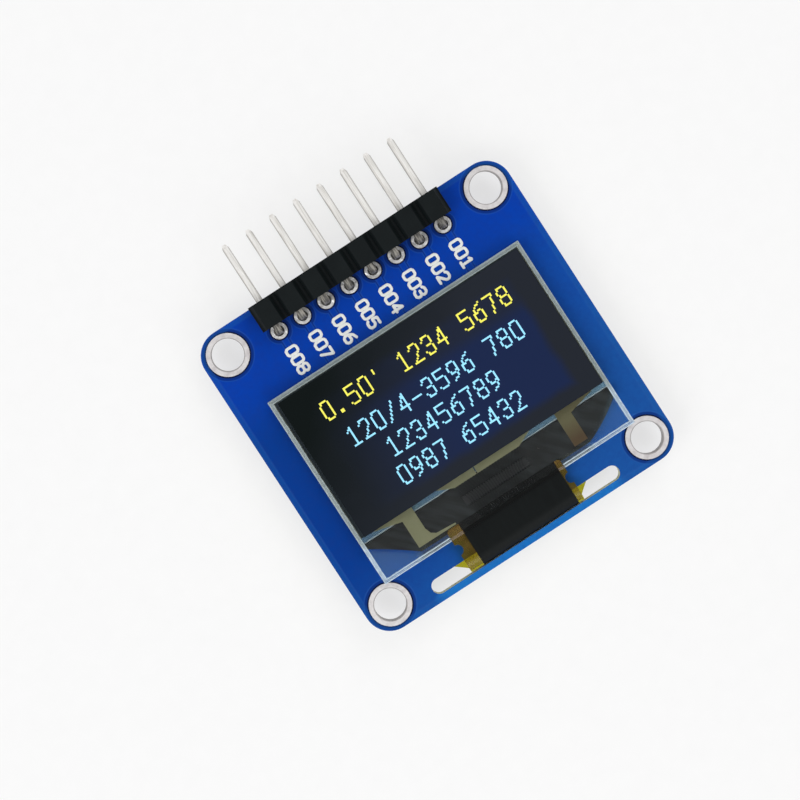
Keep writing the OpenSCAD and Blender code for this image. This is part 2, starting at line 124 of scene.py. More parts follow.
def putMesh(name, points, faces, material):
    mesh = bpy.data.meshes.new(name)
    mesh.from_pydata(points.tolist(), [], faces.tolist() if hasattr(faces, "tolist") else faces)
    mesh.materials.append(material)
    mesh.update()
    piece = bpy.data.objects.new(name, mesh)
    bpy.context.scene.collection.objects.link(piece)
    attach(piece, "root")
    return piece


def smoothRounds():
    # modifier: joins a node's loose triangles and shades every edge under 30 degrees smooth
    group = bpy.data.node_groups.new("smoothRounds", "GeometryNodeTree")
    group.interface.new_socket("Geometry", in_out="INPUT", socket_type="NodeSocketGeometry")
    group.interface.new_socket("Geometry", in_out="OUTPUT", socket_type="NodeSocketGeometry")
    new = group.nodes.new
    link = group.links.new
    start = new("NodeGroupInput")
    end = new("NodeGroupOutput")
    merge = new("GeometryNodeMergeByDistance")
    merge.inputs["Distance"].default_value = 0.001 * mm
    faces = new("GeometryNodeSetShadeSmooth")
    edges = new("GeometryNodeSetShadeSmooth")
    edges.domain = "EDGE"
    edges.inputs["Shade Smooth"].default_value = False
    angle = new("GeometryNodeInputMeshEdgeAngle")
    sharp = new("FunctionNodeCompare")
    sharp.operation = "GREATER_THAN"
    sharp.inputs[1].default_value = np.radians(30)
    link(start.outputs[0], merge.inputs["Geometry"])
    link(merge.outputs[0], faces.inputs["Geometry"])
    link(faces.outputs[0], edges.inputs["Geometry"])
    link(angle.outputs["Unsigned Angle"], sharp.inputs[0])
    link(sharp.outputs[0], edges.inputs["Selection"])
    link(edges.outputs[0], end.inputs[0])
    return group


# the circuit board
board = {
    "copperColours": ("#00388c", "#0c49a4"),  # of the mask over the copper pour, left and right, the right one lighter by a painted sheen
    "topColour": "#003ca8",  # the same beside the header
    "slotSheenColour": "#17529e",  # and towards the slot, lighter there by a painted sheen
    "bareColour": "#1d5ea8",  # of the mask where only glass cloth lies below
    "webColour": "#1a70be",  # of the thin web beyond the slot, which light shines through
    "openingShadeColour": "#042a74",  # of the openings in the pour, darkened by painted shade
    "stepHighlightColour": "#2c67b8",  # of the painted highlight on the steps along them
    "gapShadeColour": "#0a1530",  # of the painted shade in the gap between the mask and a ring
    "clothColour": "#062c7a",  # of the glass cloth's threads
    "laminateColours": ("#b9bb9c", "#d3d4bd"),  # of the layers on the cut sides
    "rimShadeColour": "#8c8886",  # of the painted shade on a ring's edge where it turns down into its hole
    "pourInset": 0.5,  # mm from the board's edge to the copper pour
    "pourRadius": 1.9,  # mm, of the pour's corners
    "ringGap": 2.42,  # mm, radius of the pour's opening round a mounting hole
    "padGap": 1.2,  # mm, radius of its opening round a pin
    "trackHalf": 0.26,  # mm, half the width of the track from a pin
    "channelEdge": 0.46,  # mm from the track's middle to the far side of its channel
    "trackReach": 5.4,  # mm that the channels run below the pins
    "webWidth": 0.65,  # mm, of the web beyond the slot
    "webHalf": (10.6, 9.0),  # mm from the middle line, where the web's colour starts and is full
    "maskGap": 0.11,  # mm between a ring and the mask
    "boreRadius": 1.5,  # mm, of a mounting hole
    "clothPitch": 0.45,  # mm between the threads of the glass cloth
}


def solderMask():
    # FR4 laminate under screen-printed solder mask: glossy deep blue, with soft steps along the
    # copper pour's edges, paler where no copper lies below, and bare straw-green on its cut sides
    material, tree, where = blank("solderMask")
    plan = addNode(tree, "VectorMath", (where, (1, 1, 0)), operation="MULTIPLY")
    folded = addNode(tree, "VectorMath", (plan,), operation="ABSOLUTE")
    boardBox = boxOf("pcb")
    ring = boxOf("mounting_ring_2")
    pin = boxOf("header_pin_8")
    pitch = pin[0][0] - boxOf("header_pin_7")[0][0]
    rowY = pin[0][1] + (pin[1][0] - pin[0][0]) / 2

    # outside the pour's rounded rectangle: |max(|p| - half, 0)| - r
    half = boardBox[1] - board["pourInset"] - board["pourRadius"]
    over = addNode(tree, "VectorMath", (folded, (half[0], half[1], 0)), operation="SUBTRACT")
    over = addNode(tree, "VectorMath", (over, (0, 0, 0)), operation="MAXIMUM")
    over = addNode(tree, "VectorMath", (over,), operation="LENGTH")
    rim = addNode(tree, "Math", (over, board["pourRadius"]), operation="SUBTRACT")

    # within the opening round a mounting hole: radius - distance
    middle = (ring[0] + ring[1]) / 2
    away = addNode(tree, "VectorMath", (folded, (middle[0], middle[1], 0)), operation="DISTANCE")
    opening = addNode(tree, "Math", (board["ringGap"], away), operation="SUBTRACT")
    ringEdge = addNode(tree, "Math", (away, (ring[1][0] - ring[0][0]) / 2), operation="SUBTRACT")

    # the nearest pin's axis: x' = |x| - pitch (k + 1/2), with k from 0 to 3
    axes = addNode(tree, "SeparateXYZ", (plan,))
    sideX = addNode(tree, "Math", (axes.outputs["X"],), operation="ABSOLUTE")
    k = addNode(tree, "Math", (sideX, pitch), operation="DIVIDE")
    k = addNode(tree, "Math", (k,), operation="FLOOR")
    k = addNode(tree, "Math", (k, 3), operation="MINIMUM")
    nearX = addNode(tree, "Math", (k, pitch, pitch / 2), operation="MULTIPLY_ADD")
    nearX = distance(tree, sideX, nearX)
    downY = addNode(tree, "Math", (axes.outputs["Y"], rowY), operation="SUBTRACT")
    nearPin = addNode(tree, "CombineXYZ", (nearX, downY, 0))
    away = addNode(tree, "VectorMath", (nearPin,), operation="LENGTH")
    pads = addNode(tree, "Math", (board["padGap"], away), operation="SUBTRACT")
    lands = boxOf("header_lands")
    padEdge = addNode(tree, "Math", (away, (lands[1][1] - lands[0][1]) / 2), operation="SUBTRACT")
    metalEdge = addNode(tree, "Math", (ringEdge, padEdge), operation="MINIMUM")

    # a channel on each side of the track that leaves the pin downwards
    side = distance(tree, nearX, (board["trackHalf"] + board["channelEdge"]) / 2)
    channelHalf = (board["channelEdge"] - board["trackHalf"]) / 2
    channel = addNode(tree, "Math", (channelHalf, side), operation="SUBTRACT")
    below = addNode(tree, "Math", (0, downY), operation="SUBTRACT")
    channel = addNode(tree, "Math", (channel, below), operation="MINIMUM")
    reach = addNode(tree, "Math", (board["trackReach"], below), operation="SUBTRACT")
    channel = addNode(tree, "Math", (channel, reach), operation="MINIMUM")
    pads = addNode(tree, "Math", (pads, channel), operation="MAXIMUM")
    track = addNode(tree, "Math", (nearX, board["trackHalf"]), operation="SUBTRACT")
    track = addNode(tree, "Math", (track, downY), operation="MAXIMUM")
    pads = addNode(tree, "Math", (pads, track), operation="MINIMUM")
    opening = addNode(tree, "Math", (opening, pads), operation="MAXIMUM")

    # the colours: over copper, deeper beside the header and lighter to the right and towards the slot by
    # a painted sheen, then the openings and gaps with painted shade, the steps with a painted highlight,
    # and the rim
    cloth = addNode(tree, "TexNoise", {"Vector": where, "Scale": 1 / board["clothPitch"],
                                       "Detail": 3.0})
    sheen = addNode(tree, "TexNoise", {"Vector": where, "Scale": 0.09, "Detail": 1.0})
    left, right = board["copperColours"]
    across = addNode(tree, "Math", (sheen, 16.0, axes.outputs["X"]), operation="MULTIPLY_ADD")
    across = addNode(tree, "MapRange", {"Value": across, "From Min": -6.0, "From Max": 22.0})
    colour = addNode(tree, "Mix", {"Factor": across, "A": left, "B": right}, data_type="RGBA")
    top = addNode(tree, "MapRange", {"Value": axes.outputs["Y"], "From Min": 4.0, "From Max": 11.0},
                  interpolation_type="SMOOTHSTEP")
    downhill = addNode(tree, "VectorMath", (plan, (0.45, -1, 0)), operation="DOT_PRODUCT")
    low = addNode(tree, "MapRange", {"Value": downhill, "From Min": 0.0, "From Max": 15.0},
                  interpolation_type="SMOOTHSTEP")
    # painted shade: the openings round the rings, the pins and their tracks are darker
    inside = addNode(tree, "MapRange", {"Value": opening, "From Min": -0.06, "From Max": 0.14,
                                        "To Max": 0.8}, interpolation_type="SMOOTHSTEP")
    # a painted highlight along the step at each opening's edge
    step = addNode(tree, "Math", (opening,), operation="ABSOLUTE")
    step = addNode(tree, "MapRange", {"Value": step, "From Min": 0.07, "From Max": 0.02, "To Max": 0.25})
    # painted shade in the gap round each ring and land
    gap = addNode(tree, "MapRange", {"Value": metalEdge, "From Min": board["maskGap"] * 1.6,
                                     "From Max": board["maskGap"]})
    beyond = addNode(tree, "MapRange", {"Value": rim, "From Min": -0.12, "From Max": 0.06,
                                        "To Max": 0.3}, interpolation_type="SMOOTHSTEP")
    clear, full = board["webHalf"]
    slotEnd = addNode(tree, "MapRange", {"Value": sideX, "From Min": clear, "From Max": full},
                      interpolation_type="SMOOTHSTEP")
    webTop = boardBox[0][1] + board["webWidth"]
    web = addNode(tree, "MapRange", {"Value": axes.outputs["Y"], "From Min": webTop + 0.25,
                                     "From Max": webTop}, interpolation_type="SMOOTHSTEP")
    web = addNode(tree, "Math", (slotEnd, web), operation="MULTIPLY")
    speck = addNode(tree, "MapRange", {"Value": cloth, "From Min": 0.3, "From Max": 0.7, "To Max": 0.2})
    layers = ((top, "topColour"), (low, "slotSheenColour"), (inside, "openingShadeColour"), (step, "stepHighlightColour"),
              (gap, "gapShadeColour"), (beyond, "bareColour"), (web, "webColour"), (speck, "clothColour"))
    for share, name in layers:
        colour = addNode(tree, "Mix", {"Factor": share, "A": colour, "B": board[name]},
                         data_type="RGBA")

    # the copper stands proud under the mask, which levels out over its edges
    pour = addNode(tree, "Math", (opening, rim), operation="MAXIMUM")
    pour = addNode(tree, "MapRange", {"Value": pour, "From Min": 0.15, "From Max": -0.15},
                   interpolation_type="SMOOTHSTEP")
    gloss = addNode(tree, "MapRange", {"Value": cloth, "To Min": 0.16, "To Max": 0.28})
    height = addNode(tree, "Math", (cloth, 0.08, pour), operation="MULTIPLY_ADD")
    skin = addNode(tree, "Bump", {"Height": height, "Distance": 0.02 * mm})
    mask = addNode(tree, "BsdfPrincipled", {"Base Color": colour, "Roughness": gloss, "Normal": skin})

    # the cut sides: cloth layers 0.2 mm thick in straw-coloured resin
    cut = addNode(tree, "TexWave", {"Vector": where, "Scale": 0.8, "Distortion": 1.5, "Detail": 2.0},
                  bands_direction="Z")
    dark, pale = board["laminateColours"]
    straw = addNode(tree, "Mix", {"Factor": cut, "A": dark, "B": pale}, data_type="RGBA")
    torn = addNode(tree, "Bump", {"Height": cloth, "Distance": 0.03 * mm})
    sides = addNode(tree, "BsdfPrincipled", {"Base Color": straw, "Roughness": 0.7, "Normal": torn})
    face = addNode(tree, "Math", (levelness(tree), 0.95), operation="GREATER_THAN")
    return close(material, tree, addNode(tree, "MixShader", (face, sides, mask)))


def tinnedCopper(name, pale, dull, roughness, metallic, soilAndShade=None, stretch=(1, 1, 1), depth=0.05):
    # hot-air levelled tin over copper: soft grey-white metal with an uneven, slightly wavy skin, depth
    # millimetres deep; stretch draws the waves out, and soilAndShade, where given, is the function that
    # adds the darker marks of its piece, flux and painted shade, to (tree, where, colour)
    material, tree, where = blank(name)
    drawn = addNode(tree, "VectorMath", (where, stretch), operation="MULTIPLY")
    waves = addNode(tree, "TexNoise", {"Vector": drawn, "Scale": 1.3, "Detail": 3.0})
    stain = addNode(tree, "MapRange", {"Value": waves, "From Min": 0.42, "From Max": 0.72})
    colour = addNode(tree, "Mix", {"Factor": stain, "A": pale, "B": dull}, data_type="RGBA")
    if soilAndShade:
        colour = soilAndShade(tree, where, colour)
    gloss = addNode(tree, "MapRange", {"Value": waves, "To Min": roughness - 0.1,
                                       "To Max": roughness + 0.14})
    skin = addNode(tree, "Bump", {"Height": waves, "Distance": depth * mm})
    metal = addNode(tree, "BsdfPrincipled", {"Base Color": colour, "Metallic": metallic,
                                             "Roughness": gloss, "Normal": skin})
    return close(material, tree, metal)


def shadedHoleRim(tree, where, colour):
    # a thin line of painted shade where the ring turns down into its hole, at radius r from the hole's
    # middle
    ring = boxOf("mounting_ring_2")
    middle = (ring[0] + ring[1]) / 2
    folded = addNode(tree, "VectorMath", (where,), operation="ABSOLUTE")
    folded = addNode(tree, "VectorMath", (folded, (1, 1, 0)), operation="MULTIPLY")
    away = addNode(tree, "VectorMath", (folded, (middle[0], middle[1], 0)), operation="DISTANCE")
    edge = addNode(tree, "MapRange", {"Value": away, "From Min": board["boreRadius"] + 0.1,
                                      "From Max": board["boreRadius"] + 0.03, "To Max": 0.75})
    return addNode(tree, "Mix", {"Factor": edge, "A": colour, "B": board["rimShadeColour"]},
                   data_type="RGBA")


# the pin header
header = {
    "bodyColours": ("#0b1012", "#141a1b"),
    "grain": 0.12,  # mm, grain of the moulded skin
    "edgeShadeColour": "#77736c",  # of the painted shade along a pin's two edges
    "bendShadeColours": ("#2b2823", "#8a867d"),  # of the painted shade on its bend, and of the streaks in it
    "patchColour": "#8f8b84",  # of the flux on the lands
    "holeShadeColour": "#2f2b27",  # of the painted shade down in their holes
}


def shadedPin(tree, where, colour):
    # darker along both edges of the pin, at distance d from its axis, and from the body down into the
    # board, in streaks along the bend: all of it painted shade
    body = boxOf("header_body")[0][1]
    first = boxOf("header_pin_1")
    second = boxOf("header_pin_2")
    width = first[1][0] - first[0][0]
    pitch = abs(second[0][0] - first[0][0])
    axes = addNode(tree, "SeparateXYZ", (where,))
    d = addNode(tree, "Math", (axes.outputs["X"], pitch), operation="PINGPONG")
    d = distance(tree, d, pitch / 2)
    edge = addNode(tree, "MapRange", {"Value": d, "From Min": width * 0.3, "From Max": width * 0.48,
                                      "To Max": 0.7})
    colour = addNode(tree, "Mix", {"Factor": edge, "A": colour, "B": header["edgeShadeColour"]},
                     data_type="RGBA")
    bend = addNode(tree, "MapRange", {"Value": axes.outputs["Y"], "From Min": body + 0.1,
                                      "From Max": body, "To Max": 0.9})
    drawn = addNode(tree, "VectorMath", (where, (1.0, 0.15, 0.15)), operation="MULTIPLY")
    streaks = addNode(tree, "TexNoise", {"Vector": drawn, "Scale": 7.0})
    streaks = addNode(tree, "MapRange", {"Value": streaks, "From Min": 0.42, "From Max": 0.58})
    dark, streaked = header["bendShadeColours"]
    dark = addNode(tree, "Mix", {"Factor": streaks, "A": dark, "B": streaked}, data_type="RGBA")
    return addNode(tree, "Mix", {"Factor": bend, "A": colour, "B": dark}, data_type="RGBA")


def solderedLand(tree, where, colour):
    # the lands stay bright outside the board, with patches of flux, and turn dark inside their holes
    # with painted shade
    low, high = [corner[2] for corner in boxOf("pcb")]
    axes = addNode(tree, "SeparateXYZ", (where,))
    patches = addNode(tree, "TexNoise", {"Vector": where, "Scale": 1.6, "Detail": 3.0})
    patches = addNode(tree, "MapRange", {"Value": patches, "From Min": 0.5, "From Max": 0.6,
                                         "To Max": 0.45})
    colour = addNode(tree, "Mix", {"Factor": patches, "A": colour, "B": header["patchColour"]},
                     data_type="RGBA")
    inside = distance(tree, axes.outputs["Z"], (low + high) / 2)
    inside = addNode(tree, "MapRange", {"Value": inside, "From Min": (high - low) / 2 + 0.04,
                                        "From Max": (high - low) / 2 - 0.1, "To Max": 0.9})
    return addNode(tree, "Mix", {"Factor": inside, "A": colour, "B": header["holeShadeColour"]},
                   data_type="RGBA")


def mouldedNylon():
    # glass-filled nylon, injection moulded: nearly black, with a fine dull grain
    material, tree, where = blank("mouldedNylon")
    grain = addNode(tree, "TexNoise", {"Vector": where, "Scale": 1 / header["grain"], "Detail": 2.0})
    colour = mottled(tree, where, 0.5, 2.0, header["bodyColours"])[1]
    gloss = addNode(tree, "MapRange", {"Value": grain, "To Min": 0.42, "To Max": 0.68})
    skin = addNode(tree, "Bump", {"Height": grain, "Distance": 0.02 * mm})
    plastic = addNode(tree, "BsdfPrincipled", {"Base Color": colour, "Roughness": gloss,
                                               "Specular IOR Level": 0.12, "Normal": skin})
    return close(material, tree, plastic)


# the display panel
panel = {
    "glassIor": 1.52,
    "edgeColours": ("#a3b0b1", "#c3d5e2"),  # of the ground edge: beside the screen, darker there by painted shade, and along the ledge
    "chipColour": "#6d7f88",  # of the chipped spots in it
    "inkColour": "#030404",  # of the flex cable's ink on it
    "highlightLines": (0.1, 0.34),  # mm from the outline to its outer and inner painted highlight line
    "hazeAndReflectionColour": "#6f97a6",  # of the haze on the glasses, and of the painted reflection on the ledge
    "resinColour": "#343b30",  # of the bond's resin that shows beside the flex cable
    "resinShare": 0.4,  # of the ledge that it covers
    "resinReach": 9.3,  # mm from the middle line
    "padFlat": 9.3,  # mm from the ledge's middle to where the pad's lower edge starts to rise
    "padSlope": 0.7,
    "capMist": (0.25, 0.38),  # share of haze on the rear glass, at its left and right end
    "ledgeReflectionAndResin": (0.035, 0.08),  # share of painted reflection on the bare ledge beyond the pad, at its right and left corner
    "sealColours": ("#a9ad98", "#bcc0ad"),  # of the resin's edge
    "sealDark": "#3a4850",  # of the resin where the row lines run below it
    "sealEdge": 0.42,  # mm from the glass's edge to where those begin
    "filmColours": ("#0f1515", "#242830"),  # of the polariser, from its upper left to its lower right, greyer there by a painted reflection
    "tintColour": "#1c284a",  # of the screen behind it
    "upperTint": 0.3,  # share of that tint behind the yellow rows
    "metalColours": ("#a3a584", "#b3b594"),  # of the ledge's metal film
    "rightColour": "#8f8c6c",  # of its right bar
    "brownColour": "#77664f",  # of that bar's lower end
    "trackColour": "#15191a",  # of the tracks to the driver chip
    "trackLength": 0.8,  # mm
    "tracksHalf": 4.2,  # mm, half the width that they take up
    "padAndReflectionColours": ("#0b0f10", "#1f2526"),  # of the black pad and the painted reflection lines on it
    "speckColour": "#b9b9b4",  # of the bright specks on the pad
}


def coverBand(tree, where):
    # 1 within the width of the flex cable's black cover film, which is |x - middle| < half, else 0
    cover = boxOf("flex_cover")
    aside = addNode(tree, "SeparateXYZ", (where,)).outputs["X"]
    aside = distance(tree, aside, (cover[0][0] + cover[1][0]) / 2)
    return addNode(tree, "Math", (aside, (cover[1][0] - cover[0][0]) / 2), operation="LESS_THAN")


def glassOutline(tree, where):
    # how far inside the front glass a place is: from the nearest of its left, right and far edges,
    # and from its near edge
    low, high = boxOf("front_glass")
    fromLow = addNode(tree, "VectorMath", (where, tuple(low)), operation="SUBTRACT")
    fromLow = addNode(tree, "SeparateXYZ", (fromLow,))
    toHigh = addNode(tree, "VectorMath", (tuple(high), where), operation="SUBTRACT")
    toHigh = addNode(tree, "SeparateXYZ", (toHigh,))
    inset = addNode(tree, "Math", (fromLow.outputs["X"], toHigh.outputs["X"]), operation="MINIMUM")
    inset = addNode(tree, "Math", (inset, toHigh.outputs["Y"]), operation="MINIMUM")
    return inset, fromLow.outputs["Y"]


def resinBand(tree, where):
    # 1 near the flex cable, fading to 0 at the reach of the bond's resin
    aside = addNode(tree, "SeparateXYZ", (where,)).outputs["X"]
    aside = addNode(tree, "Math", (aside,), operation="ABSOLUTE")
    return addNode(tree, "MapRange", {"Value": aside, "From Min": panel["resinReach"] + 0.4,
                                      "From Max": panel["resinReach"] - 0.5})


def groundGlass(name, hazeAndReflection, edges=None):
    # soda-lime glass: clear through its faces, with a share of haze, which on the ledge is painted
    # reflection with the bond's resin, and frosted where it is ground; hazeAndReflection is a function
    # of (tree, where, chips), and edges, where given, of (tree, where, ground, chips). Lamps shine
    # straight through it, so that what lies behind is lit
    material, tree, where = blank(name)
    chips = addNode(tree, "TexNoise", {"Vector": where, "Scale": 2.5, "Detail": 4.0})
    ground = addNode(tree, "Math", (levelness(tree), 0.95), operation="LESS_THAN")
    frosted = edges(tree, where, ground, chips) if edges else ground

    # painted shade: the ground edge is darker beside the screen than along the ledge
    ledge = boxOf("cap_glass")[0][1]
    up = addNode(tree, "SeparateXYZ", (where,)).outputs["Y"]
    low = addNode(tree, "MapRange", {"Value": up, "From Min": ledge + 0.2, "From Max": ledge - 0.4})
    beside, along = panel["edgeColours"]
    colour = addNode(tree, "Mix", {"Factor": low, "A": beside, "B": along}, data_type="RGBA")
    chipped = addNode(tree, "MapRange", {"Value": chips, "From Min": 0.35, "From Max": 0.65,
                                         "To Max": 0.35})
    colour = addNode(tree, "Mix", {"Factor": chipped, "A": colour, "B": panel["chipColour"]},
                     data_type="RGBA")
    inked = addNode(tree, "Math", (low, coverBand(tree, where)), operation="MULTIPLY")
    colour = addNode(tree, "Mix", {"Factor": inked, "A": colour, "B": panel["inkColour"]},
                     data_type="RGBA")
    gloss = addNode(tree, "MapRange", {"Value": inked, "To Min": 0.5, "To Max": 0.1})
    clear = addNode(tree, "BsdfPrincipled", {"Base Color": (1, 1, 1, 1), "Roughness": 0.0,
                                             "IOR": panel["glassIor"], "Transmission Weight": 1.0})
    skin = addNode(tree, "Bump", {"Height": chips, "Distance": 0.05 * mm})
    frost = addNode(tree, "BsdfPrincipled", {"Base Color": colour, "Roughness": 0.45,
                                             "Specular IOR Level": gloss, "Normal": skin})
    bare = addNode(tree, "Math", (up, ledge - 0.5), operation="LESS_THAN")
    resin = addNode(tree, "Math", (bare, resinBand(tree, where)), operation="MULTIPLY")
    # the diffuse layer: haze on the rear glass, and on the ledge painted reflection with the bond's
    # resin
    hazeAndReflectionColour, resinColour = panel["hazeAndReflectionColour"], panel["resinColour"]
    tone = addNode(tree, "Mix", {"Factor": resin, "A": hazeAndReflectionColour, "B": resinColour}, data_type="RGBA")
    hazeAndReflectionLayer = addNode(tree, "BsdfPrincipled", {"Base Color": tone, "Roughness": 0.6})
    body = addNode(tree, "MixShader", (hazeAndReflection(tree, where, chips), clear, hazeAndReflectionLayer))
    glass = addNode(tree, "MixShader", (frosted, body, frost))
    lampRay = addNode(tree, "LightPath").outputs["Is Shadow Ray"]
    shadowless = addNode(tree, "BsdfTransparent")
    return close(material, tree, addNode(tree, "MixShader", (lampRay, glass, shadowless)))


def frontEdges(tree, where, ground, chips):
    # two painted highlights, bright lines at their distances from the outline, with a dimmer band
    # between;
    # along the ledge the band is clear, the flex cable's resin hides the lines and its black ink the
    # edge
    inset, fromNear = glassOutline(tree, where)
    beside = addNode(tree, "Math", (inset, 0.3), operation="LESS_THAN")
    inset = addNode(tree, "Math", (inset, fromNear), operation="MINIMUM")
    inset = addNode(tree, "Math", (chips, 0.1, inset), operation="MULTIPLY_ADD")
    inset = addNode(tree, "Math", (inset, 0.05), operation="SUBTRACT")
    outer, inner = panel["highlightLines"]
    outerLine = addNode(tree, "MapRange", {"Value": inset, "From Min": outer + 0.02,
                                           "From Max": outer - 0.01})
    away = distance(tree, inset, inner)
    innerLine = addNode(tree, "MapRange", {"Value": away, "From Min": 0.06, "From Max": 0.035,
                                           "To Max": 0.9})
    lines = addNode(tree, "Math", (outerLine, innerLine), operation="MAXIMUM")
    band = addNode(tree, "Math", (ground, beside), operation="MULTIPLY")
    band = addNode(tree, "Math", (band, 0.6), operation="MULTIPLY")
    frosted = addNode(tree, "Math", (lines, band), operation="MAXIMUM")
    aside = addNode(tree, "SeparateXYZ", (where,)).outputs["X"]
    aside = addNode(tree, "Math", (aside,), operation="ABSOLUTE")
    dry = addNode(tree, "MapRange", {"Value": aside, "From Min": flex["neckHalf"],
                                     "From Max": flex["neckHalf"] + 0.15})
    above = addNode(tree, "Math", (fromNear, 1.0), operation="GREATER_THAN")
    dry = addNode(tree, "Math", (dry, above), operation="MAXIMUM")
    frosted = addNode(tree, "Math", (frosted, dry), operation="MULTIPLY")
    inked = addNode(tree, "Math", (ground, coverBand(tree, where)), operation="MULTIPLY")
    inked = addNode(tree, "Math", (inked, above), operation="SUBTRACT")
    return addNode(tree, "Math", (frosted, inked), operation="MAXIMUM")


def capMist(tree, where, chips):
    # an even haze, stronger towards the right
    low, high = boxOf("cap_glass")
    left, right = panel["capMist"]
    across = addNode(tree, "SeparateXYZ", (where,)).outputs["X"]
    return addNode(tree, "MapRange", {"Value": across, "From Min": low[0], "From Max": high[0],
                                      "To Min": left, "To Max": right})


def ledgeReflectionAndResin(tree, where, chips):
    # a painted reflection on the bare ledge, below the pad's outline, which is the line
    # y = padLow + slope max(|x - middle| - flat, 0); stronger towards the left corner, and with the
    # bond's resin beside the flex cable
    padLow = boxOf("ledge_pad")[0][1]
    low, high = boxOf("front_glass")
    axes = addNode(tree, "SeparateXYZ", (where,))
    aside = addNode(tree, "Math", (axes.outputs["X"], (low[0] + high[0]) / 2), operation="SUBTRACT")
    outwards = addNode(tree, "Math", (aside,), operation="ABSOLUTE")
    outwards = addNode(tree, "Math", (outwards, panel["padFlat"]), operation="SUBTRACT")
    outwards = addNode(tree, "Math", (outwards, 0), operation="MAXIMUM")
    line = addNode(tree, "Math", (outwards, panel["padSlope"], padLow), operation="MULTIPLY_ADD")
    below = addNode(tree, "Math", (line, axes.outputs["Y"]), operation="SUBTRACT")
    below = addNode(tree, "Math", (chips, 0.3, below), operation="MULTIPLY_ADD")
    below = addNode(tree, "MapRange", {"Value": below, "From Min": -0.2, "From Max": 0.5},
                    interpolation_type="SMOOTHSTEP")
    right, left = panel["ledgeReflectionAndResin"]
    share = addNode(tree, "MapRange", {"Value": aside, "From Min": -6.0, "From Max": -13.0,
                                       "To Min": right, "To Max": left})
    resin = addNode(tree, "MapRange", {"Value": resinBand(tree, where), "To Max": panel["resinShare"]})
    share = addNode(tree, "Math", (share, resin), operation="MAXIMUM")
    beside = addNode(tree, "Math", (axes.outputs["X"],), operation="ABSOLUTE")
    beside = addNode(tree, "MapRange", {"Value": beside, "From Min": flex["neckHalf"] - 0.1,
                                        "From Max": flex["neckHalf"] + 0.2})
    share = addNode(tree, "Math", (share, beside), operation="MULTIPLY")
    return addNode(tree, "Math", (share, below), operation="MULTIPLY")


def polariserFilm():
    # circular polariser: smooth triacetate film, nearly black at the upper left and greyer towards the
    # lower right by a painted reflection; behind it the screen's own field shows navy, more so to the
    # right, which is painted reflection too, and where the blue rows are
    material, tree, where = blank("polariserFilm")
    low, high = boxOf("pixel_layer")
    middle = (low + high) / 2
    half = (high - low) / 2
    cloud = addNode(tree, "TexNoise", {"Vector": where, "Scale": 0.35, "Detail": 3.0})
    slope = addNode(tree, "VectorMath", (where, (1, -1, 0)), operation="DOT_PRODUCT")
    slope = addNode(tree, "Math", (cloud, 4.0, slope), operation="MULTIPLY_ADD")
    slope = addNode(tree, "MapRange", {"Value": slope, "From Min": -14.0, "From Max": 3.0})
    dark, grey = panel["filmColours"]
    colour = addNode(tree, "Mix", {"Factor": slope, "A": dark, "B": grey}, data_type="RGBA")
    centred = addNode(tree, "VectorMath", (where, tuple(middle)), operation="SUBTRACT")
    place = addNode(tree, "SeparateXYZ", (centred,))
    inset = addNode(tree, "VectorMath", (centred,), operation="ABSOLUTE")
    inset = addNode(tree, "VectorMath", (tuple(half), inset), operation="SUBTRACT")
    inset = addNode(tree, "SeparateXYZ", (inset,))
    inset = addNode(tree, "Math", (inset.outputs["X"], inset.outputs["Y"]), operation="MINIMUM")
    inset = addNode(tree, "Math", (cloud, 0.8, inset), operation="MULTIPLY_ADD")
    field = addNode(tree, "MapRange", {"Value": inset, "From Min": -0.1, "From Max": 1.0},
                    interpolation_type="SMOOTHSTEP")
    # painted reflection: the navy field grows stronger to the right
    share = addNode(tree, "MapRange", {"Value": place.outputs["X"], "From Min": -12.0, "From Max": 2.0},
                    interpolation_type="SMOOTHSTEP")
    upper = addNode(tree, "MapRange", {"Value": place.outputs["Y"], "From Min": 2.0, "From Max": 3.6,
                                       "To Min": 1.0, "To Max": panel["upperTint"]},
                    interpolation_type="SMOOTHSTEP")
    field = addNode(tree, "Math", (field, share), operation="MULTIPLY")
    field = addNode(tree, "Math", (field, upper), operation="MULTIPLY")
    colour = addNode(tree, "Mix", {"Factor": field, "A": colour, "B": panel["tintColour"]},
                     data_type="RGBA")
    ripple = addNode(tree, "TexNoise", {"Vector": where, "Scale": 0.5, "Detail": 1.0})
    gloss = addNode(tree, "MapRange", {"Value": cloud, "To Min": 0.08, "To Max": 0.16})
    skin = addNode(tree, "Bump", {"Height": ripple, "Distance": 0.02 * mm})
    film = addNode(tree, "BsdfPrincipled", {"Base Color": colour, "Roughness": gloss, "IOR": 1.49,
                                            "Normal": skin})
    return close(material, tree, film)


def sealResin():
    # cured epoxy adhesive: pale olive along its outer edge, clouded by its glass spacers, and dark
    # further in, where the screen's row lines run below it
    material, tree, where = blank("sealResin")
    cloud, pale = mottled(tree, where, 3.0, 3.0, panel["sealColours"])
    inset = glassOutline(tree, where)[0]
    inset = addNode(tree, "Math", (cloud, 0.1, inset), operation="MULTIPLY_ADD")
    inside = addNode(tree, "MapRange", {"Value": inset, "From Min": panel["sealEdge"],
                                        "From Max": panel["sealEdge"] + 0.1})
    colour = addNode(tree, "Mix", {"Factor": inside, "A": pale, "B": panel["sealDark"]},
                     data_type="RGBA")
    skin = addNode(tree, "Bump", {"Height": cloud, "Distance": 0.01 * mm})
    resin = addNode(tree, "BsdfPrincipled", {"Base Color": colour, "Roughness": 0.5, "Normal": skin})
    return close(material, tree, resin)


